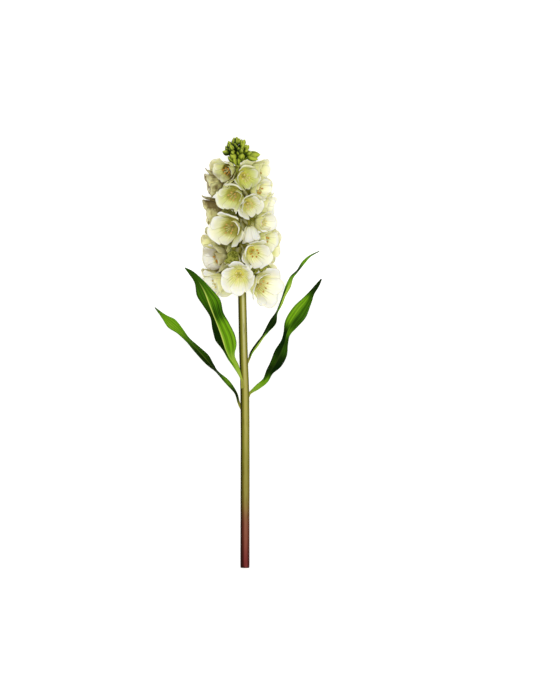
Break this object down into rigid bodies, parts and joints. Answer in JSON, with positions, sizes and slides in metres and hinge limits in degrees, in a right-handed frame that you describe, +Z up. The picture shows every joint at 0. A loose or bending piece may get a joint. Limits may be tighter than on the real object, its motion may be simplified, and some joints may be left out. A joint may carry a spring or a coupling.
{
  "type": "cut flower spike",
  "caption": "Cut flower spike that lies on a surface: bare stem, dense head of open cream bells, tuft of green buds at the tip and long waved leaves.",
  "frame": {"origin": "on the surface that the spike lies on, under the middle of its bounding box", "axes": "+Y along the stem from its cut end to the buds, +X to the right as seen from above with the buds ahead, +Z up from the surface"},
  "size_m": [0.1946, 0.5009, 0.0955],
  "materials": {
    "stem_green": "satin olive green stem skin",
    "leaf_green": "waxy green leaf with parallel veins",
    "petal_cream": "soft matt cream petal",
    "stamen_yellow": "matt orange yellow pollen",
    "bud_green": "satin green bud"
  },
  "bodies": {
    "root": {"stem": "stem_green", "bloom_01": "petal_cream", "bloom_02": "petal_cream", "bloom_03": "petal_cream", "bloom_04": "petal_cream", "bloom_05": "petal_cream", "bloom_06": "petal_cream", "bloom_07": "petal_cream", "bloom_08": "petal_cream", "bloom_09": "petal_cream", "bloom_10": "petal_cream", "bloom_11": "petal_cream", "bloom_12": "petal_cream", "bloom_13": "petal_cream", "bloom_14": "petal_cream", "bloom_15": "petal_cream", "bloom_16": "petal_cream", "bloom_17": "petal_cream", "bloom_18": "petal_cream", "bloom_19": "petal_cream", "bloom_20": "petal_cream", "bloom_21": "petal_cream", "bloom_22": "petal_cream", "bloom_23": "petal_cream", "bloom_24": "petal_cream", "bloom_25": "petal_cream", "bloom_26": "petal_cream", "bloom_27": "petal_cream", "bloom_28": "petal_cream", "bloom_29": "petal_cream", "bloom_30": "petal_cream", "bloom_31": "petal_cream", "bloom_32": "petal_cream", "stamens_01": "stamen_yellow", "stamens_02": "stamen_yellow", "stamens_03": "stamen_yellow", "stamens_04": "stamen_yellow", "stamens_05": "stamen_yellow", "stamens_06": "stamen_yellow", "stamens_07": "stamen_yellow", "stamens_08": "stamen_yellow", "stamens_09": "stamen_yellow", "stamens_10": "stamen_yellow", "stamens_11": "stamen_yellow", "stamens_12": "stamen_yellow", "stamens_13": "stamen_yellow", "stamens_14": "stamen_yellow", "stamens_15": "stamen_yellow", "stamens_16": "stamen_yellow", "stamens_17": "stamen_yellow", "stamens_18": "stamen_yellow", "bud_cluster": "bud_green", "leaf_lower_left": "leaf_green", "leaf_upper_left": "leaf_green", "leaf_upper_right": "leaf_green", "leaf_lower_right": "leaf_green"}
  },
  "joints": []
}
